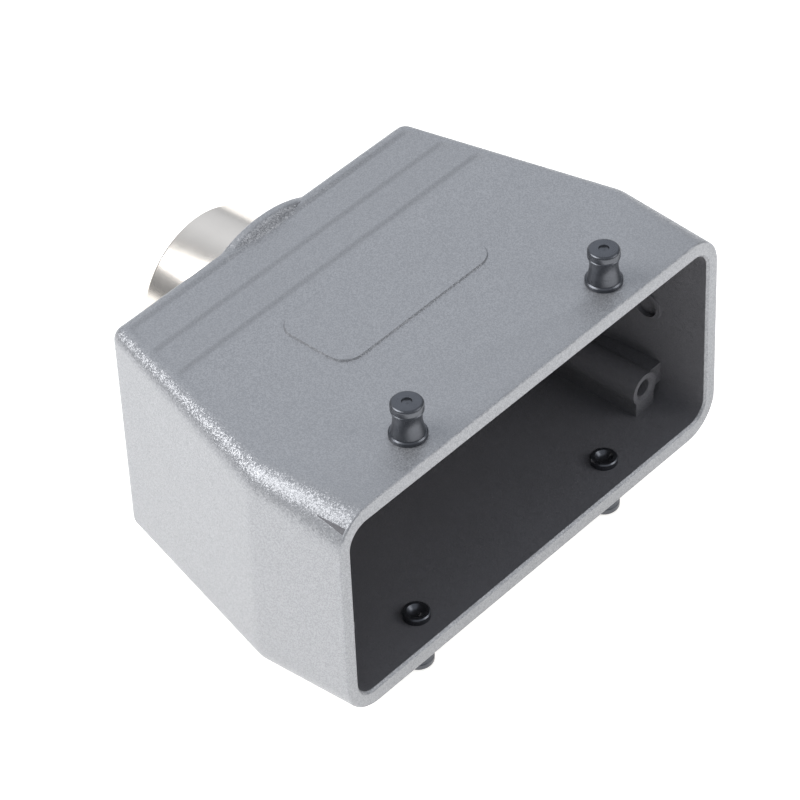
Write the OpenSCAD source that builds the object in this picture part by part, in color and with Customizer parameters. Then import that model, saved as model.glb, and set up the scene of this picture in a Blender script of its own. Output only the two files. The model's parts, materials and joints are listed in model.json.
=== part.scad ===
// Hood of a heavy duty rectangular connector, with a threaded cable neck at the back.
// The hood is a die-cast shell: its mouth opens towards -Y, the cable leaves towards +Y and the
// two broad sides face up and down. It stands on its two lower locking studs at z = 0.

/* [Hood] */
// Length of the mouth, along X
rim_l = 94; // [86:0.5:104]
// Height of the mouth, along Z
rim_h = 43.2; // [41:0.5:52]
// Depth of the shell, from the mouth to the back face
hood_d = 60.4; // [56:0.2:76]
// Wall of the two broad sides at the mouth
broad_wall = 3.2; // [2.4:0.1:3.6]
// Wall of the two ends at the mouth
end_wall = 2.6; // [2.2:0.05:3.6]
// Inward lean of the cavity's end walls in front of the knee, in degrees
end_draft = 2.4; // [0.5:0.1:3]
// Wall of the back, around the cable entry
back_wall = 3.2; // [2.4:0.1:5]
// Rounding of the four corners at the mouth
rim_corner_r = 7.1; // [5.5:0.1:8.5]
// Rounding of the four long edges at the knee
knee_corner_r = 4.4; // [3:0.1:5.4]
// Rounding of the four long edges at the back
back_corner_r = 2.1; // [1.2:0.1:2.9]
// Rounding of the cavity's corners at the mouth
cavity_corner_r = 3.7; // [3:0.1:5]
// Rounding of the cavity's corners at its floor
floor_corner_r = 2.6; // [2.2:0.1:2.9]
// Rounding of the rim's outer edge
rim_round = 0.3; // [0.2:0.05:0.8]
// Chamfer of the rim's inner edge
rim_chamfer = 0.4; // [0.2:0.05:0.8]
// Rounding between the back face and the four sides
back_round = 1.9; // [1:0.1:2.6]
// Rounding between the cavity's floor and its walls
floor_round = 1.8; // [1:0.1:2.1]

/* [Taper of the ends] */
// Depth at which the ends turn from straight to tapered
knee_y = 19.8; // [17:0.1:22]
// Inward lean of the ends behind the knee, in degrees
end_taper = 15.3; // [10:0.2:17]
// Half width of the soft ridge at the knee
knee_soft = 1.1; // [0.5:0.1:2]

/* [Grip ridges across the broad sides] */
// Depth of the foot of each ridge below the broad side
ridge_h = 0.35; // [0.15:0.05:0.5]
// Length of each ridge's steep face
ridge_ramp = 1.3; // [0.8:0.1:1.8]
// Distance between two ridges
ridge_pitch = 6.85; // [5:0.05:8]
// Distance from the last ridge's steep face to the back face
ridge_to_back = 2.6; // [2.3:0.05:4]
// Length of the slope that leads to the first ridge
ridge_lead = 9.5; // [4:0.1:12]
// Width of the soft border at both ends of the ridges
ridge_border = 1.5; // [0.8:0.1:2.5]

/* [Raised panel] */
// Length of the panel, along X
panel_l = 37.2; // [24:0.2:40]
// Depth of the panel, along Y
panel_d = 15.85; // [12:0.05:16]
// Distance from the mouth to the panel's front edge
panel_y = 24.05; // [22:0.05:25]
// Height of the panel above the broad side
panel_rise = 0.3; // [0.15:0.05:0.5]
// Rounding of the panel's corners
panel_corner_r = 3.8; // [2:0.1:5]
// Slope of the panel's edge, measured across it
panel_edge = 0.35; // [0.2:0.05:0.6]

/* [Collar] */
// Radius of the collar round the cable entry
collar_r = 23.2; // [22.6:0.1:25]
// Width of the collar, measured forward from the back face
collar_w = 3.5; // [2.5:0.1:4.5]
// Length of the slope at the collar's front
collar_slope = 2; // [1:0.1:2.4]
// Rounding of the collar's back edge
collar_back_round = 0.9; // [0.4:0.1:1]

/* [Insert posts] */
// Distance between the insert screws, along X
screw_pitch_x = 77.5; // [74:0.5:80]
// Distance between the insert screws, along Z
screw_pitch_z = 27; // [25:0.5:28]
// Radius of a post
post_r = 3.1; // [2.8:0.1:3.5]
// Depth of the posts' seats below the mouth
post_y = 8.75; // [6:0.05:11]
// Core radius of the tapped holes
screw_core_r = 1.65; // [1.4:0.05:1.9]
// Depth of the tapped holes
screw_depth = 16; // [10:0.5:18]
// Radius of the countersink at each tapped hole
countersink_r = 2.15; // [2:0.05:2.5]
// Thickness of the web from a post to its broad side
broad_web = 4.8; // [3:0.1:5.4]
// Thickness of the web from a post to its end
end_web = 4.2; // [3:0.1:5]
// Setback of the end web behind the post's seat
end_web_setback = 0.8; // [0.3:0.1:2]

/* [Recesses in the end walls] */
// Radius of each recess
recess_r = 2.3; // [1.8:0.1:2.6]
// Depth of each recess
recess_depth = 0.8; // [0.4:0.1:1.4]
// Radius of the ring round each recess
recess_ring_r = 3.1; // [2.8:0.1:3.6]
// Height of the ring
recess_ring_h = 0.3; // [0.2:0.05:0.5]
// Distance of each recess from the mouth
recess_y = 12.7; // [11:0.1:14]

/* [Locking studs] */
// Distance between the two studs of one side
stud_pitch = 48.3; // [40:0.1:56]
// Distance of the studs from the mouth
stud_y = 5.9; // [4.5:0.1:7]
// Height of a stud above the broad side
stud_h = 7; // [6:0.1:8]
// Radius of a stud's head
stud_head_r = 2.76; // [2.5:0.02:2.9]
// Height of the straight part of the head
stud_head_h = 0.7; // [0.5:0.1:1]
// Rounding of the head's top edge
stud_head_round = 0.55; // [0.3:0.05:0.7]
// Radius of the waist
stud_waist_r = 2.4; // [2.1:0.05:2.45]
// Radius of the flange
stud_flange_r = 3.2; // [3:0.05:3.6]
// Height of the flange
stud_flange_h = 0.9; // [0.5:0.1:1]
// Radius of the dimple in the head
stud_dimple_r = 0.8; // [0.5:0.05:1.2]
// Depth of the dimple in the head
stud_dimple_depth = 0.25; // [0.1:0.05:0.4]
// Radius of the shank in the wall
stud_shank_r = 2; // [1.7:0.05:2.1]
// Radius of the riveted end inside the hood
rivet_r = 2.4; // [2.25:0.05:2.8]
// Height of the riveted end inside the hood
rivet_h = 1.2; // [0.8:0.1:1.5]
// Radius of the punch mark in the riveted end
rivet_cup_r = 1.6; // [1.2:0.05:1.8]
// Depth of the punch mark in the riveted end
rivet_cup_depth = 0.75; // [0.3:0.05:0.8]

/* [Cable neck] */
// Length of the neck behind the hood
neck_l = 15.6; // [10:0.2:24]
// Outer radius of the neck
neck_r = 14.6; // [14.2:0.1:16]
// Rounding of the neck's outer edge
neck_round = 0.5; // [0.2:0.1:0.9]
// Core radius of the thread in the neck
thread_core_r = 11.75; // [11:0.05:12]
// Depth of the thread in the neck
thread_depth = 12; // [8:0.5:14]
// Chamfer at the start of the thread
thread_chamfer = 0.9; // [0.4:0.1:1.2]
// Radius of the cable passage behind the thread
passage_r = 10.8; // [9:0.1:10.9]
// Radius of the bore in the hood that takes the neck's spigot
spigot_bore_r = 13.5; // [13.2:0.05:13.8]
// Radius of the lip rolled over inside the hood
lip_r = 14.4; // [14.1:0.1:15]
// Thickness of the lip
lip_h = 1; // [0.6:0.1:1.5]
// Width of the groove for the seal
groove_w = 1.6; // [1.2:0.1:1.9]
// Depth of the groove for the seal
groove_depth = 0.9; // [0.6:0.05:1.1]

/* [Fits] */
// Radial gap between a pressed or riveted piece and its hole
press_gap = 0.02; // [0.01:0.01:0.05]

/* [Hidden] */
STUD_NODES = ["stud_top_left", "stud_top_right", "stud_bottom_left", "stud_bottom_right"];

overall_d = hood_d + neck_l;
axis_z = rim_h / 2 + stud_h;
half_l = rim_l / 2;
half_h = rim_h / 2;
ridge_ys = [for (i = [2:-1:0]) hood_d - ridge_to_back - i * ridge_pitch];
cavity_floor = hood_d - back_wall;
overcut = 1;
corner_steps = 10;
round_fn = 96;
small_fn = 48;

die_cast_grey = [0.61, 0.63, 0.66];
gunmetal = [0.26, 0.27, 0.29];
nickel = [0.78, 0.76, 0.73];
rubber_black = [0.08, 0.08, 0.09];

// Sections of the shell ------------------------------------------------------------------------

function mix_of(a, b, t) = a + (b - a) * t;

// Runs from 0 before the corner to the full distance after it, with a soft turn between.
function soft_corner(d, w) = d <= -w ? 0 : d >= w ? d : (d + w) * (d + w) / (4 * w);

// Runs from 0 to 1 across a ramp of width w, level at both its ends.
function soft_step(d, w) = let (t = min(1, max(0, d / w + 0.5))) t * t * (3 - 2 * t);

function lean(y) = tan(end_taper) * soft_corner(y - knee_y, knee_soft);
function shell_half_l(y) = half_l - lean(y);

// Depth of the ridges' slopes: each sinks slowly from the front and ends at a steep face.
function ridge_start(i) = i == 0 ? ridge_ys[0] - ridge_lead : ridge_ys[i - 1] + ridge_ramp / 2;
function ridge_slope(i, y) = let (
    foot = ridge_ys[i] - ridge_ramp / 2,
    t = (y - ridge_start(i)) / (foot - ridge_start(i))
) t <= 0 ? 0 : t <= 1 ? pow(t, i == 0 ? 1.5 : 1) : 1 - soft_step(y - ridge_ys[i], ridge_ramp);
function sink(y) = ridge_h * max([for (i = [0:2]) y < ridge_start(i) ? 0 : ridge_slope(i, y)]);

function shell_corner_r(y) = y < knee_y
    ? mix_of(rim_corner_r, knee_corner_r, max(0, y) / knee_y)
    : mix_of(knee_corner_r, back_corner_r, (y - knee_y) / (hood_d - knee_y));
function cavity_half_l(y) = shell_half_l(y) - end_wall - tan(end_draft) * min(max(y, 0), knee_y);
function cavity_corner(y) = mix_of(cavity_corner_r, floor_corner_r, max(0, y) / cavity_floor);

// Points of a rectangle with round corners, standing across Y. Its two long sides can be sunk,
// with a soft border at both ends.
function section(y, half_x, half_z, r, sunk = 0) = [
    for (corner = [0:3])
        let (
            side_x = corner == 0 || corner == 3 ? 1 : -1,
            side_z = corner < 2 ? 1 : -1,
            border = [
                for (t = [0.25:0.25:1])
                    [side_x * (half_x - r - ridge_border * t), y,
                        side_z * (half_z - sunk * t * t * (3 - 2 * t))]
            ],
            round = [
                for (i = [0:corner_steps])
                    let (a = 90 * (corner + i / corner_steps))
                    [side_x * (half_x - r) + r * cos(a), y, side_z * (half_z - r) + r * sin(a)]
            ]
        )
        each corner % 2 == 0 ? concat(round, border)
            : concat([for (i = [3:-1:0]) border[i]], round)
];

// Stations of a quarter round that ends at depth y: [depth, inset] pairs.
function round_out(y, r) = [for (a = [0:30:60]) [y + r * (1 - cos(a)), r * (1 - sin(a))]];
function round_in(y, r) = [for (a = [0:18:90]) [y - r * (1 - sin(a)), r * (1 - cos(a))]];
function knee_stations() = [for (i = [-1:0.5:1]) [knee_y + i * knee_soft, 0]];
function lead_stations() = [for (t = [0:0.2:0.8]) [mix_of(ridge_start(0), ridge_ys[0], t), 0]];
function ridge_stations(y) = [for (i = [-0.5:0.25:0.5]) [y + i * ridge_ramp, 0]];

shell_stations = concat(
    round_out(0, rim_round),
    [[rim_round, 0]],
    knee_stations(),
    lead_stations(),
    ridge_stations(ridge_ys[0]),
    ridge_stations(ridge_ys[1]),
    ridge_stations(ridge_ys[2]),
    round_in(hood_d, back_round)
);

cavity_stations = concat(
    [[-overcut, -rim_chamfer - overcut], [rim_chamfer, 0]],
    knee_stations(),
    round_in(cavity_floor, floor_round)
);

shell_sections = [
    for (s = shell_stations)
        section(s[0], shell_half_l(s[0]) - s[1], half_h - s[1],
            max(shell_corner_r(s[0]) - s[1], 0.3), s[1] == 0 ? sink(s[0]) : 0)
];

cavity_sections = [
    for (s = cavity_stations)
        section(s[0], cavity_half_l(s[0]) - s[1], half_h - broad_wall - s[1],
            max(cavity_corner(s[0]) - s[1], 0.3))
];

// Closed skin over a row of sections that have the same number of points.
module loft(sections) {
    m = len(sections[0]);
    last = len(sections) - 1;
    polyhedron(
        points = [for (s = sections) each s],
        faces = concat(
            [[for (j = [m - 1:-1:0]) j]],
            [[for (j = [0:m - 1]) last * m + j]],
            [
                for (i = [0:last - 1], j = [0:m - 1])
                    let (k = (j + 1) % m)
                    each [[i * m + j, i * m + k, (i + 1) * m + k],
                        [i * m + j, (i + 1) * m + k, (i + 1) * m + j]]
            ]
        ),
        convexity = 8
    );
}

// Helpers --------------------------------------------------------------------------------------

// Moves a piece from the mouth's centre to its place above the ground.
module placed() {
    translate([0, -overall_d / 2, axis_z])
        children();
}

// Turns a piece that stands along Z so that it runs along Y.
module along_y() {
    rotate([-90, 0, 0])
        children();
}

function arc(centre, r, from, to, steps = 8) = [
    for (i = [0:steps])
        let (a = mix_of(from, to, i / steps))
        centre + r * [cos(a), sin(a)]
];

// Hood -----------------------------------------------------------------------------------------

module collar() {
    front = hood_d - collar_w;
    foot_r = half_h - ridge_h - 0.25;
    along_y()
        rotate_extrude($fn = round_fn)
            polygon(concat(
                [[0, front]],
                [
                    for (t = [0:0.125:1])
                        [mix_of(foot_r, collar_r, t * t * (3 - 2 * t)), front + collar_slope * t]
                ],
                arc([collar_r - collar_back_round, hood_d - collar_back_round],
                    collar_back_round, 0, 90),
                [[0, hood_d]]
            ));
}

module raised_panel() {
    hull()
        for (x = [-1, 1], y = [0, 1])
            translate([
                x * (panel_l / 2 - panel_corner_r),
                panel_y + mix_of(panel_corner_r, panel_d - panel_corner_r, y),
                half_h - panel_rise
            ])
                cylinder(r1 = panel_corner_r + panel_edge / 2, r2 = panel_corner_r - panel_edge / 2,
                    h = 2 * panel_rise, $fn = 32);
}

module at_screws() {
    for (x = [-1, 1], z = [-1, 1])
        translate([x * screw_pitch_x / 2, post_y, z * screw_pitch_z / 2])
            scale([x, 1, z])
                children();
}

module insert_post() {
    post_l = hood_d - post_y;
    along_y()
        cylinder(r = post_r, h = post_l, $fn = small_fn);
    translate([-broad_web / 2, 0, 0])
        cube([broad_web, post_l, half_h - screw_pitch_z / 2]);
    translate([0, end_web_setback, -end_web / 2])
        cube([half_l - screw_pitch_x / 2, post_l - end_web_setback, end_web]);
}

module tapped_hole() {
    along_y() {
        cylinder(r = screw_core_r, h = screw_depth, $fn = small_fn);
        translate([0, 0, -overcut])
            cylinder(r1 = countersink_r + overcut, r2 = screw_core_r,
                h = countersink_r - screw_core_r + overcut, $fn = small_fn);
    }
}

module at_end_recesses() {
    for (x = [-1, 1])
        translate([x * cavity_half_l(recess_y), recess_y, 0])
            rotate([0, x * 90, 0])
                children();
}

module recess_ring() {
    translate([0, 0, -recess_ring_h])
        cylinder(r = recess_ring_r, h = recess_ring_h + end_wall / 2, $fn = small_fn);
}

module recess_hole() {
    translate([0, 0, -recess_ring_h - overcut])
        cylinder(r = recess_r, h = recess_ring_h + overcut + recess_depth, $fn = small_fn);
}

module cavity() {
    difference() {
        loft(cavity_sections);
        at_screws()
            insert_post();
        at_end_recesses()
            recess_ring();
    }
}

module stud_holes() {
    for (x = [-1, 1])
        translate([x * stud_pitch / 2, stud_y, 0])
            cylinder(r = stud_shank_r + press_gap, h = rim_h + 2 * overcut, center = true,
                $fn = small_fn);
}

module hood() {
    color(die_cast_grey)
        placed()
            difference() {
                union() {
                    loft(shell_sections);
                    collar();
                    raised_panel();
                }
                cavity();
                at_screws()
                    tapped_hole();
                at_end_recesses()
                    recess_hole();
                stud_holes();
                translate([0, cavity_floor - overcut, 0])
                    along_y()
                        cylinder(r = spigot_bore_r, h = back_wall + 2 * overcut, $fn = round_fn);
            }
}

// Locking studs --------------------------------------------------------------------------------

// Outline of a stud, from the foot of its riveted end up to its head. Height 0 is the hood's face.
function stud_outline() = let (
    rivet_foot = -broad_wall - rivet_h,
    head_foot = stud_h - stud_head_round - stud_head_h,
    groove = 0.1,
    neck_top = head_foot - 3 * groove,
    waist = mix_of(stud_flange_h, neck_top, 0.6),
    flange_edge = 0.22
) concat(
    [
        [0, rivet_foot + rivet_cup_depth],
        [rivet_cup_r * 0.55, rivet_foot + rivet_cup_depth * 0.8],
        [rivet_cup_r, rivet_foot],
        [rivet_r - 0.2, rivet_foot],
        [rivet_r, rivet_foot + 0.2],
        [rivet_r, -broad_wall],
        [stud_shank_r, -broad_wall],
        [stud_shank_r, 0],
        [stud_flange_r - 0.1, 0],
        [stud_flange_r, 0.1],
        [stud_flange_r, stud_flange_h - flange_edge],
        [stud_flange_r - flange_edge, stud_flange_h]
    ],
    [
        for (t = [1:-0.125:0])
            [mix_of(stud_waist_r, stud_flange_r - flange_edge - 0.1, pow(t, 1.6)),
                mix_of(waist, stud_flange_h, t)]
    ],
    [
        for (t = [0.25:0.25:1])
            [mix_of(stud_waist_r, stud_head_r - 0.02, t * t), mix_of(waist, neck_top, t)]
    ],
    [
        [stud_head_r - 0.02 - groove, neck_top + groove],
        [stud_head_r - groove, head_foot - groove],
        [stud_head_r, head_foot]
    ],
    arc([stud_head_r - stud_head_round, stud_h - stud_head_round], stud_head_round, 0, 90, 6),
    [
        [stud_dimple_r + 0.1, stud_h],
        [stud_dimple_r, stud_h - stud_dimple_depth],
        [stud_dimple_r * 0.6, stud_h - stud_dimple_depth],
        [0, stud_h - stud_dimple_depth * 0.6]
    ]
);

module locking_stud(side_x, side_z) {
    color(gunmetal)
        placed()
            translate([side_x * stud_pitch / 2, stud_y, side_z * half_h])
                rotate([side_z > 0 ? 0 : 180, 0, 0])
                    rotate_extrude($fn = small_fn)
                        polygon(stud_outline());
}

// Cable neck -----------------------------------------------------------------------------------

module cable_neck() {
    spigot_r = spigot_bore_r - press_gap;
    thread_end = overall_d - thread_depth;
    groove_y = hood_d - (back_wall + groove_w) / 2;
    color(nickel)
        placed()
            along_y()
                rotate_extrude($fn = round_fn)
                    polygon(concat(
                        [
                            [passage_r, cavity_floor - lip_h],
                            [lip_r - 0.3, cavity_floor - lip_h],
                            [lip_r, cavity_floor - lip_h + 0.3],
                            [lip_r, cavity_floor],
                            [spigot_r, cavity_floor],
                            [spigot_r, groove_y],
                            [spigot_r - groove_depth, groove_y],
                            [spigot_r - groove_depth, groove_y + groove_w],
                            [spigot_r, groove_y + groove_w],
                            [spigot_r, hood_d],
                            [neck_r - 0.2, hood_d],
                            [neck_r, hood_d + 0.2]
                        ],
                        arc([neck_r - neck_round, overall_d - neck_round], neck_round, 0, 90, 6),
                        [
                            [thread_core_r + thread_chamfer, overall_d],
                            [thread_core_r, overall_d - thread_chamfer],
                            [thread_core_r, thread_end],
                            [passage_r, thread_end - (thread_core_r - passage_r)]
                        ]
                    ));
}

module neck_seal() {
    seal_outer_r = spigot_bore_r - press_gap;
    seal_inner_r = spigot_bore_r - press_gap - groove_depth + press_gap;
    seal_w = groove_w - 4 * press_gap;
    edge = 0.25;
    color(rubber_black)
        placed()
            along_y()
                translate([0, 0, hood_d - (back_wall + seal_w) / 2])
                    rotate_extrude($fn = round_fn)
                        polygon([
                            [seal_inner_r + edge, 0],
                            [seal_outer_r - edge, 0],
                            [seal_outer_r, edge],
                            [seal_outer_r, seal_w - edge],
                            [seal_outer_r - edge, seal_w],
                            [seal_inner_r + edge, seal_w],
                            [seal_inner_r, seal_w - edge],
                            [seal_inner_r, edge]
                        ]);
}

hood();
locking_stud(-1, 1);
locking_stud(1, 1);
locking_stud(-1, -1);
locking_stud(1, -1);
cable_neck();
neck_seal();
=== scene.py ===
# %% [markdown]
# # The hood of a heavy duty rectangular connector
# A hood like this one closes the cable end of a plug on a machine. It is one aluminium casting with
# a grey powder coat, four turned steel studs riveted through its walls, and a nickel plated neck at
# the back where the cable goes in. The solids already have their shape, so this script adds no
# piece and cuts nothing: it gives them their finishes and lights the part like a small product
# picture. The threads of the neck and of the four screw holes stay plain. Everything is in metres,
# in the frame of the solids.

# %% Load the solids
import json
import math

import bpy
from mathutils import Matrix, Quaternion, Vector


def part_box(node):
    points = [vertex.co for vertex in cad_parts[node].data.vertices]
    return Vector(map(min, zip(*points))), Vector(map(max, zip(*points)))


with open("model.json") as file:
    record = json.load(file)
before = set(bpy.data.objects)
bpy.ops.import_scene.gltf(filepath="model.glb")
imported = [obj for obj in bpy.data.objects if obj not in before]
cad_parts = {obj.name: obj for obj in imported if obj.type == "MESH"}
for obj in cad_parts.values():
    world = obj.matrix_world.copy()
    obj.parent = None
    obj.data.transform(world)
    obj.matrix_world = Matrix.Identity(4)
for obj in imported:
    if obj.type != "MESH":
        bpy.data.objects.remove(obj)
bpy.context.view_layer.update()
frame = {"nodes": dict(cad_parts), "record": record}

MM = 0.001
nodes = frame["nodes"]
record = frame["record"]
mounts = {mount["name"]: mount for mount in record["mounts"]}
stud_names = sorted(name for name in nodes if name.startswith("stud_"))
print("solids:", ", ".join(sorted(nodes)))

# %% [markdown]
# ## The camera
# The camera comes first, so that every later choice can be judged from the view that counts. It is
# described as a photographer would: how far away it stands, from which side, how high, which lens
# it carries and how far it is rolled. A long lens keeps the edges of the box nearly parallel.

# %% Place the camera
camera_distance = 0.6446
camera_azimuth = math.radians(-46.63)
camera_elevation = math.radians(41.60)
camera_roll = math.radians(-2.67)
camera_aim = Vector((-1.2, -9.0, 28.6)) * MM

camera = bpy.data.objects.new("camera", bpy.data.cameras.new("camera"))
bpy.context.scene.collection.objects.link(camera)
bpy.context.scene.camera = camera
camera.data.lens = 174.0
camera.data.sensor_width = 36.0
towards_camera = Vector((
    math.sin(camera_azimuth) * math.cos(camera_elevation),
    -math.cos(camera_azimuth) * math.cos(camera_elevation),
    math.sin(camera_elevation),
))
camera.rotation_mode = "QUATERNION"
camera.location = camera_aim + towards_camera * camera_distance
camera.rotation_quaternion = (
    towards_camera.to_track_quat("Z", "Y") @ Quaternion((0, 0, 1), camera_roll)
)
print("camera at", [round(v, 3) for v in camera.location])

# %% [markdown]
# ## Smooth edges on faceted solids
# The solids arrive as many flat triangles. Their shape isn't edited here. A modifier
# can still change how light runs over them: it joins the corner points, lets the surface read as
# one skin wherever two faces meet at a small angle, and keeps the crisp edges crisp. A weighted
# normal modifier then lets the large flat faces stay flat beside their small roundings.

# %% Build the smoothing modifier
def smoothing_tree(sharp_angle):
    tree = bpy.data.node_groups.new("smooth_skin", "GeometryNodeTree")
    tree.interface.new_socket("Geometry", in_out="INPUT", socket_type="NodeSocketGeometry")
    tree.interface.new_socket("Geometry", in_out="OUTPUT", socket_type="NodeSocketGeometry")
    add, link = tree.nodes.new, tree.links.new
    start, end = add("NodeGroupInput"), add("NodeGroupOutput")
    plain = add("GeometryNodeRemoveAttribute")
    plain.inputs["Name"].default_value = "custom_normal"
    merge = add("GeometryNodeMergeByDistance")
    merge.inputs["Distance"].default_value = 0.01 * MM
    smooth = add("GeometryNodeSetShadeSmooth")
    angle = add("GeometryNodeInputMeshEdgeAngle")
    sharp = add("FunctionNodeCompare")
    sharp.operation = "GREATER_THAN"
    sharp.inputs["B"].default_value = sharp_angle
    crisp = add("GeometryNodeSetShadeSmooth")
    crisp.domain = "EDGE"
    crisp.inputs["Shade Smooth"].default_value = False
    link(start.outputs[0], plain.inputs["Geometry"])
    link(plain.outputs["Geometry"], merge.inputs["Geometry"])
    link(merge.outputs["Geometry"], smooth.inputs["Geometry"])
    link(smooth.outputs["Geometry"], crisp.inputs["Geometry"])
    link(angle.outputs["Unsigned Angle"], sharp.inputs["A"])
    link(sharp.outputs["Result"], crisp.inputs["Selection"])
    link(crisp.outputs["Geometry"], end.inputs[0])
    return tree


def smooth_skin(piece, sharp_degrees=38):
    name = f"smooth_skin_{sharp_degrees}"
    tree = bpy.data.node_groups.get(name)
    if tree is None:
        tree = smoothing_tree(math.radians(sharp_degrees))
        tree.name = name
    piece.modifiers.new("smooth skin", "NODES").node_group = tree
    weighted = piece.modifiers.new("flat faces stay flat", "WEIGHTED_NORMAL")
    weighted.keep_sharp = True
    weighted.weight = 50
    weighted.mode = "CORNER_ANGLE"


for name, solid in nodes.items():
    smooth_skin(solid)
print("smoothed", len(nodes), "solids")

# %% [markdown]
# ## Helpers for materials
# A material here is a small graph of nodes. The helpers below keep the cells that follow short:
# one makes an empty material with its shader, one adds a maths node, and one opens a new node group
# with named sockets. An effect that several finishes share is such a group, built once.

# %% Write the helpers
def new_material(name):
    material = bpy.data.materials.new(name)
    material.use_nodes = True
    tree = material.node_tree
    tree.nodes.clear()
    output = tree.nodes.new("ShaderNodeOutputMaterial")
    shader = tree.nodes.new("ShaderNodeBsdfPrincipled")
    tree.links.new(shader.outputs["BSDF"], output.inputs["Surface"])
    return material, tree, shader


def maths(tree, operation, a, b=0.0, c=0.0):
    node = tree.nodes.new("ShaderNodeMath")
    node.operation = operation
    for socket, value in zip(node.inputs, (a, b, c)):
        if isinstance(value, (int, float)):
            socket.default_value = value
        else:
            tree.links.new(value, socket)
    return node.outputs[0]


def vector_maths(tree, operation, a, b=None, scale=None):
    node = tree.nodes.new("ShaderNodeVectorMath")
    node.operation = operation
    for socket, value in ((node.inputs[0], a), (node.inputs[1], b), (node.inputs[3], scale)):
        if value is None:
            continue
        if isinstance(value, (int, float, tuple)):
            socket.default_value = value
        else:
            tree.links.new(value, socket)
    return node.outputs["Value" if operation in ("LENGTH", "DOT_PRODUCT") else "Vector"]


def mix_colour(tree, share, a, b):
    node = tree.nodes.new("ShaderNodeMix")
    node.data_type = "RGBA"
    for socket, value in ((node.inputs[0], share), (node.inputs[6], a), (node.inputs[7], b)):
        if isinstance(value, (int, float, tuple)):
            socket.default_value = value
        else:
            tree.links.new(value, socket)
    return node.outputs[2]


def map_range(tree, value, from_low, from_high, to_low, to_high):
    node = tree.nodes.new("ShaderNodeMapRange")
    node.inputs["From Min"].default_value = from_low
    node.inputs["From Max"].default_value = from_high
    node.inputs["To Min"].default_value = to_low
    node.inputs["To Max"].default_value = to_high
    tree.links.new(value, node.inputs["Value"])
    return node.outputs["Result"]


def open_group(name, inputs, outputs):
    tree = bpy.data.node_groups.new(name, "ShaderNodeTree")
    for socket_name, kind, value in inputs:
        socket = tree.interface.new_socket(socket_name, in_out="INPUT", socket_type=kind)
        if value is not None:
            socket.default_value = value
    for socket_name, kind in outputs:
        tree.interface.new_socket(socket_name, in_out="OUTPUT", socket_type=kind)
    return tree, tree.nodes.new("NodeGroupInput").outputs, tree.nodes.new("NodeGroupOutput").inputs


def use_group(tree, group, **values):
    node = tree.nodes.new("ShaderNodeGroup")
    node.node_tree = group
    for name, value in values.items():
        socket = node.inputs[name.replace("_", " ")]
        if isinstance(value, (int, float, tuple)):
            socket.default_value = value
        else:
            tree.links.new(value, socket)
    return node.outputs


def place_of(tree):
    return tree.nodes.new("ShaderNodeTexCoord").outputs["Object"]


FLOAT, COLOUR, VECTOR = "NodeSocketFloat", "NodeSocketColor", "NodeSocketVector"
print("material helpers ready")

# %% [markdown]
# ## Metal flakes in a coat
# The powder coat holds fine aluminium flakes. Each flake lies at its own small angle, so under a
# lamp some flash and their neighbours stay dark. Painting white dots would sparkle everywhere, also
# in the shade. Tilting the surface normal a little, flake by flake, makes the sparkle appear only
# where a real coat has it: on roundings and faces that nearly mirror a lamp.

# %% Build the flake group
flakes, given, result = open_group(
    "metal flakes",
    [("Place", VECTOR, None), ("Flake Size", FLOAT, 0.2 * MM), ("Tilt", FLOAT, 0.3),
     ("Paint", COLOUR, (0.3, 0.3, 0.3, 1)), ("Flake Colour", COLOUR, (0.6, 0.6, 0.6, 1)),
     ("Flake Share", FLOAT, 0.5)],
    [("Color", COLOUR), ("Normal", VECTOR)],
)
cells = flakes.nodes.new("ShaderNodeTexVoronoi")
cells.feature = "F1"
cells.inputs["Randomness"].default_value = 1.0
flakes.links.new(given["Place"], cells.inputs["Vector"])
flakes.links.new(maths(flakes, "DIVIDE", 1.0, given["Flake Size"]), cells.inputs["Scale"])
random_tilt = vector_maths(flakes, "SUBTRACT", cells.outputs["Color"], (0.5, 0.5, 0.5))
random_tilt = vector_maths(flakes, "SCALE", random_tilt, scale=given["Tilt"])
surface = flakes.nodes.new("ShaderNodeNewGeometry").outputs["Normal"]
tilted = vector_maths(flakes, "NORMALIZE", vector_maths(flakes, "ADD", surface, random_tilt))
apart = flakes.nodes.new("ShaderNodeSeparateColor")
flakes.links.new(cells.outputs["Color"], apart.inputs[0])
is_flake = maths(flakes, "LESS_THAN", apart.outputs[1], given["Flake Share"])
flake_tone = mix_colour(flakes, is_flake, given["Paint"], given["Flake Colour"])
flakes.links.new(flake_tone, result["Color"])
flakes.links.new(tilted, result["Normal"])
print("group:", flakes.name)

# %% [markdown]
# ## Uneven skin
# No finish is even. A slow cloud of lighter and darker tone, and a fine grain on top of it, keep
# large faces from looking like plastic. The same group serves the coat, the steel, the nickel and
# the rubber, each with its own strength, and also gives a height for a bump.

# %% Build the skin group
skin, given, result = open_group(
    "uneven skin",
    [("Place", VECTOR, None), ("Cloud Size", FLOAT, 8 * MM), ("Grain Size", FLOAT, 0.3 * MM),
     ("Tone", COLOUR, (0.5, 0.5, 0.5, 1)), ("Tone Change", FLOAT, 0.06),
     ("Roughness", FLOAT, 0.4), ("Roughness Change", FLOAT, 0.05)],
    [("Color", COLOUR), ("Roughness", FLOAT), ("Height", FLOAT)],
)


def noise(tree, place, size, detail):
    node = tree.nodes.new("ShaderNodeTexNoise")
    node.inputs["Detail"].default_value = detail
    tree.links.new(place, node.inputs["Vector"])
    tree.links.new(maths(tree, "DIVIDE", 1.0, size), node.inputs["Scale"])
    return node.outputs["Fac"]


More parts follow.
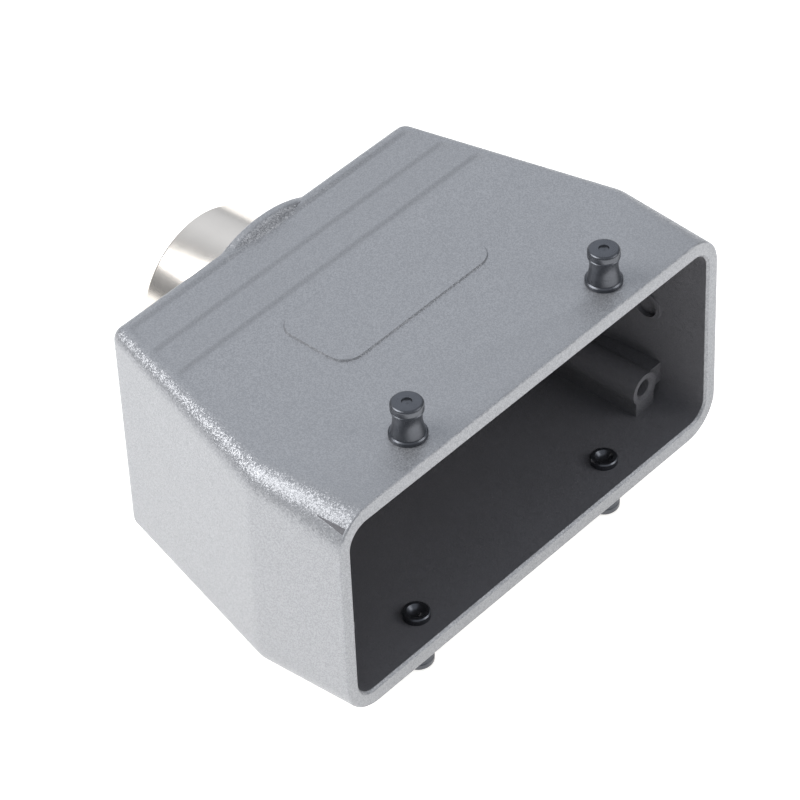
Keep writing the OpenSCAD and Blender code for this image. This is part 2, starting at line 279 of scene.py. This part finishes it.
cloud = noise(skin, given["Place"], given["Cloud Size"], 3.0)
grain = noise(skin, given["Place"], given["Grain Size"], 2.0)
swing = maths(skin, "SUBTRACT", maths(skin, "ADD", cloud, grain), 1.0)
brighter = maths(skin, "MULTIPLY_ADD", swing, given["Tone Change"], 1.0)
toned = vector_maths(skin, "SCALE", given["Tone"], scale=brighter)
rougher = maths(skin, "MULTIPLY_ADD", swing, given["Roughness Change"], given["Roughness"])
skin.links.new(toned, result["Color"])
skin.links.new(rougher, result["Roughness"])
skin.links.new(grain, result["Height"])
print("group:", skin.name)

# %% [markdown]
# ## Lathe marks
# The studs and the neck are turned on a lathe, and the tool leaves fine rings. On an end face the
# rings are circles about the axis, and on a side they are lines across it. One group serves both: it
# is given a distance, which grows from ring to ring, and gives the height of the marks.

# %% Build the lathe group
lathe, given, result = open_group(
    "lathe marks",
    [("Distance", FLOAT, 0.0), ("Pitch", FLOAT, 0.1 * MM), ("Unevenness", FLOAT, 0.5)],
    [("Height", FLOAT)],
)
turns = maths(lathe, "DIVIDE", given["Distance"], given["Pitch"])
rings = lathe.nodes.new("ShaderNodeTexNoise")
rings.noise_dimensions = "1D"
rings.inputs["Scale"].default_value = 1.0
rings.inputs["Detail"].default_value = 2.0
lathe.links.new(turns, rings.inputs["W"])
wave = maths(lathe, "SINE", maths(lathe, "MULTIPLY", turns, math.tau))
wave_share = 0.15
lathe.links.new(
    maths(lathe, "ADD", maths(lathe, "MULTIPLY", rings.outputs["Fac"], given["Unevenness"]),
          maths(lathe, "MULTIPLY", wave, wave_share)),
    result["Height"],
)
print("group:", lathe.name)

# %% [markdown]
# ## The powder coat
# Outside, the coat is a cool mid grey with flakes. Inside the cavity the colour is painted shade: a
# dark, duller, non-metal tone that stands in for the shade in the hollow. Both tones are on one
# solid, so the material has to know which side it is on: a point is inside when it lies within a box
# that follows the cavity's walls. The box reaches a little into the walls, so that the floors of the
# two recesses get the painted shade too. It has square corners and the hood has round ones, so at
# the four corners beside the mouth it comes out through the wall, and a thin dark wedge of painted
# shade shows outside. By calculation a smaller margin in height would keep it inside, but that
# hasn't been tried.

# %% Make the coat
hood_low, hood_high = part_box("hood")
mouth_y = hood_low.y
axis_z = mounts["cable_entry"]["pos_m"][2]
half_length = (hood_high.x - hood_low.x) / 2
end_wall = 2.6 * MM
collar_reach = 1.6 * MM
broad_half = (hood_high.z - hood_low.z) / 2 - collar_reach
broad_wall = 3.2 * MM
knee_depth = 19.8 * MM
end_lean = math.tan(math.radians(15.3))
end_draft = math.tan(math.radians(2.4))
rim_chamfer = 0.4 * MM
# The painted shade inside the mouth begins here, just past the rim chamfer.
cavity_shade_start = rim_chamfer * 1.3
back_wall = 3.2 * MM
margin = 1.2 * MM
back_margin = 0.1 * MM
cavity_extra_roughness = 0.12
coat_metallic = 0.55
hood_depth = hood_high.y - hood_low.y

coat, tree, shader = new_material("powder_coat")
place = place_of(tree)
axes = tree.nodes.new("ShaderNodeSeparateXYZ")
tree.links.new(place, axes.inputs[0])
depth = maths(tree, "SUBTRACT", axes.outputs["Y"], mouth_y)
past_knee = maths(tree, "MAXIMUM", maths(tree, "SUBTRACT", depth, knee_depth), 0.0)
lean = maths(tree, "MULTIPLY", past_knee, end_lean)
draft = maths(tree, "MULTIPLY", maths(tree, "MINIMUM", depth, knee_depth), end_draft)
wall_x = maths(tree, "SUBTRACT", half_length - end_wall + margin, maths(tree, "ADD", lean, draft))
inside_x = maths(tree, "LESS_THAN", maths(tree, "ABSOLUTE", axes.outputs["X"]), wall_x)
height = maths(tree, "ABSOLUTE", maths(tree, "SUBTRACT", axes.outputs["Z"], axis_z))
inside_z = maths(tree, "LESS_THAN", height, broad_half - broad_wall + margin)
inside_y = maths(tree, "MULTIPLY", maths(tree, "GREATER_THAN", depth, cavity_shade_start),
                 maths(tree, "LESS_THAN", depth, hood_depth - back_wall + back_margin))
inside = maths(tree, "MULTIPLY", maths(tree, "MULTIPLY", inside_x, inside_z), inside_y)

sparkle = use_group(tree, flakes, Place=place, Flake_Size=0.16 * MM, Tilt=0.36,
                    Paint=(0.325, 0.33, 0.345, 1), Flake_Colour=(0.41, 0.415, 0.43, 1),
                    Flake_Share=0.5)
outer = use_group(tree, skin, Place=place, Cloud_Size=14 * MM, Grain_Size=0.5 * MM,
                  Tone=sparkle["Color"], Tone_Change=0.05, Roughness=0.38, Roughness_Change=0.06)
# Painted shade: this dark tone inside the cavity stands in for the shade in the hollow.
cavity_shade = use_group(tree, skin, Place=place, Cloud_Size=9 * MM, Grain_Size=0.35 * MM,
                   Tone=(0.15, 0.148, 0.158, 1), Tone_Change=0.12,
                   Roughness=0.5, Roughness_Change=0.06)
# The inside mask mixes the painted shade of the cavity into the coat's colour.
tree.links.new(mix_colour(tree, inside, outer["Color"], cavity_shade["Color"]),
               shader.inputs["Base Color"])
rougher_inside = maths(tree, "MULTIPLY_ADD", inside, cavity_extra_roughness, outer["Roughness"])
tree.links.new(rougher_inside, shader.inputs["Roughness"])
tree.links.new(maths(tree, "MULTIPLY", maths(tree, "SUBTRACT", 1.0, inside), coat_metallic),
               shader.inputs["Metallic"])
orange_peel = tree.nodes.new("ShaderNodeBump")
orange_peel.inputs["Strength"].default_value = 0.35
orange_peel.inputs["Distance"].default_value = 0.03 * MM
tree.links.new(outer["Height"], orange_peel.inputs["Height"])
tree.links.new(sparkle["Normal"], orange_peel.inputs["Normal"])
tree.links.new(orange_peel.outputs["Normal"], shader.inputs["Normal"])
print("coat reaches into the mouth by", round(cavity_shade_start / MM, 2), "mm")

# %% [markdown]
# ## The studs
# The studs are turned from steel bar and blackened, so they are dark but still metal. The rings on a
# stud's head run round its own axis. All four studs stand at the same distance from the middle, so
# one material finds the nearest axis with an absolute value and serves them all.

# %% Make the blackened steel
head = mounts["top_right_stud_head"]["pos_m"]
steel, tree, shader = new_material("blackened_steel")
place = place_of(tree)
axes = tree.nodes.new("ShaderNodeSeparateXYZ")
tree.links.new(place, axes.inputs[0])
away_x = maths(tree, "SUBTRACT", maths(tree, "ABSOLUTE", axes.outputs["X"]), head[0])
away_y = maths(tree, "SUBTRACT", axes.outputs["Y"], head[1])
radius = maths(tree, "SQRT", maths(tree, "ADD", maths(tree, "MULTIPLY", away_x, away_x),
                                   maths(tree, "MULTIPLY", away_y, away_y)))
along = maths(tree, "ADD", radius, axes.outputs["Z"])
marks = use_group(tree, lathe, Distance=along, Pitch=0.14 * MM, Unevenness=1.0)
black = use_group(tree, skin, Place=place, Cloud_Size=1.6 * MM, Grain_Size=0.15 * MM,
                  Tone=(0.12, 0.125, 0.138, 1), Tone_Change=0.35,
                  Roughness=0.3, Roughness_Change=0.12)
tree.links.new(black["Color"], shader.inputs["Base Color"])
tree.links.new(black["Roughness"], shader.inputs["Roughness"])
shader.inputs["Metallic"].default_value = 0.95
bump = tree.nodes.new("ShaderNodeBump")
bump.inputs["Strength"].default_value = 0.35
bump.inputs["Distance"].default_value = 0.02 * MM
tree.links.new(marks["Height"], bump.inputs["Height"])
tree.links.new(bump.outputs["Normal"], shader.inputs["Normal"])
print("stud axes stand", round(head[0] / MM, 2), "mm from the middle")

# %% [markdown]
# ## The nickel plate
# Bright nickel is a warm mirror with the turning marks of the brass under it still faintly showing.

# %% Make the nickel
nickel, tree, shader = new_material("nickel_plate")
place = place_of(tree)
axes = tree.nodes.new("ShaderNodeSeparateXYZ")
tree.links.new(place, axes.inputs[0])
marks = use_group(tree, lathe, Distance=axes.outputs["Y"], Pitch=0.12 * MM, Unevenness=1.0)
plate = use_group(tree, skin, Place=place, Cloud_Size=3 * MM, Grain_Size=0.25 * MM,
                  Tone=(0.76, 0.71, 0.65, 1), Tone_Change=0.08,
                  Roughness=0.24, Roughness_Change=0.06)
tree.links.new(plate["Color"], shader.inputs["Base Color"])
tree.links.new(plate["Roughness"], shader.inputs["Roughness"])
shader.inputs["Metallic"].default_value = 1.0
bump = tree.nodes.new("ShaderNodeBump")
bump.inputs["Strength"].default_value = 0.12
bump.inputs["Distance"].default_value = 0.01 * MM
tree.links.new(marks["Height"], bump.inputs["Height"])
tree.links.new(bump.outputs["Normal"], shader.inputs["Normal"])
print("nickel ready")

# %% [markdown]
# ## The seal
# The ring between the neck and the hood is black rubber: dull, slightly cloudy, and never pure black.

# %% Make the rubber and hand out the materials
rubber, tree, shader = new_material("seal_rubber")
dull = use_group(tree, skin, Place=place_of(tree), Cloud_Size=2 * MM, Grain_Size=0.2 * MM,
                 Tone=(0.02, 0.02, 0.02, 1), Tone_Change=0.2, Roughness=0.75, Roughness_Change=0.08)
tree.links.new(dull["Color"], shader.inputs["Base Color"])
tree.links.new(dull["Roughness"], shader.inputs["Roughness"])
bump = tree.nodes.new("ShaderNodeBump")
bump.inputs["Strength"].default_value = 0.3
bump.inputs["Distance"].default_value = 0.02 * MM
tree.links.new(dull["Height"], bump.inputs["Height"])
tree.links.new(bump.outputs["Normal"], shader.inputs["Normal"])


def dress(piece, material):
    piece.data.materials.clear()
    piece.data.materials.append(material)


dress(nodes["hood"], coat)
dress(nodes["cable_neck"], nickel)
dress(nodes["neck_seal"], rubber)
for name in stud_names:
    dress(nodes[name], steel)
print("dressed", len(nodes), "solids")

# %% [markdown]
# ## The set
# The part is shown level, with its lower studs on a pale floor that fills the view. Left to itself
# it would lean back on its collar. The floor glows a little, as in a light tent, because the metal
# shows what is around it: the floor gives the lower faces their pale tone, the dimmer room gives the
# dark line beside each highlight, and the soft box overhead gives the highlight itself. The glow
# also washes out most of the shadow under the part.

# %% Lay the floor
floor_mesh = bpy.data.meshes.new("floor")
reach = 6.0
floor_corners = [(-reach, -reach, 0), (reach, -reach, 0), (reach, reach, 0), (-reach, reach, 0)]
floor_mesh.from_pydata(floor_corners, [], [(0, 1, 2, 3)])
floor = bpy.data.objects.new("floor", floor_mesh)
bpy.context.scene.collection.objects.link(floor)
floor_glow = 0.74
paper, tree, shader = new_material("paper")
shader.inputs["Base Color"].default_value = (0.9, 0.9, 0.9, 1)
shader.inputs["Roughness"].default_value = 0.9
shader.inputs["Specular IOR Level"].default_value = 0.1
shader.inputs["Emission Color"].default_value = (1, 0.98, 0.94, 1)
shader.inputs["Emission Strength"].default_value = floor_glow
floor_mesh.materials.append(paper)

# %% Light the set
world = bpy.data.worlds.new("studio")
bpy.context.scene.world = world
world.use_nodes = True
tree = world.node_tree
tree.nodes.clear()
sky = tree.nodes.new("ShaderNodeBackground")
tree.links.new(sky.outputs[0], tree.nodes.new("ShaderNodeOutputWorld").inputs[0])
towards = tree.nodes.new("ShaderNodeTexCoord").outputs["Generated"]
direction = tree.nodes.new("ShaderNodeSeparateXYZ")
tree.links.new(towards, direction.inputs[0])
horizon_height, zenith_height = 0.05, 0.7
horizon_light, zenith_light = 0.2, 0.5
room = map_range(tree, direction.outputs["Z"], horizon_height, zenith_height,
                 horizon_light, zenith_light)
panel_side = Vector((0.60, 0.62, 0.50)).normalized()
nearness = vector_maths(tree, "DOT_PRODUCT", towards, tuple(panel_side))
panel_edge, panel_core = math.cos(math.radians(42)), math.cos(math.radians(14))
panel_light = 0.5
panel = map_range(tree, nearness, panel_edge, panel_core, 0.0, panel_light)
tree.links.new(maths(tree, "ADD", room, panel), sky.inputs["Strength"])
sky.inputs["Color"].default_value = (0.92, 0.97, 1.05, 1)


def soft_box(name, place, width, height, power):
    lamp = bpy.data.lights.new(name, "AREA")
    lamp.shape = "RECTANGLE"
    lamp.size, lamp.size_y = width, height
    lamp.energy = power
    holder = bpy.data.objects.new(name, lamp)
    bpy.context.scene.collection.objects.link(holder)
    holder.location = place
    holder.rotation_euler = (Vector(place) - camera_aim).to_track_quat("Z", "Y").to_euler()


soft_box("overhead", (-0.42, 0.33, 0.62), 0.55, 0.45, 4)
soft_box("front", (0.45, -0.7, 0.55), 0.5, 0.4, 1.5)
bpy.context.scene.view_settings.view_transform = "Standard"
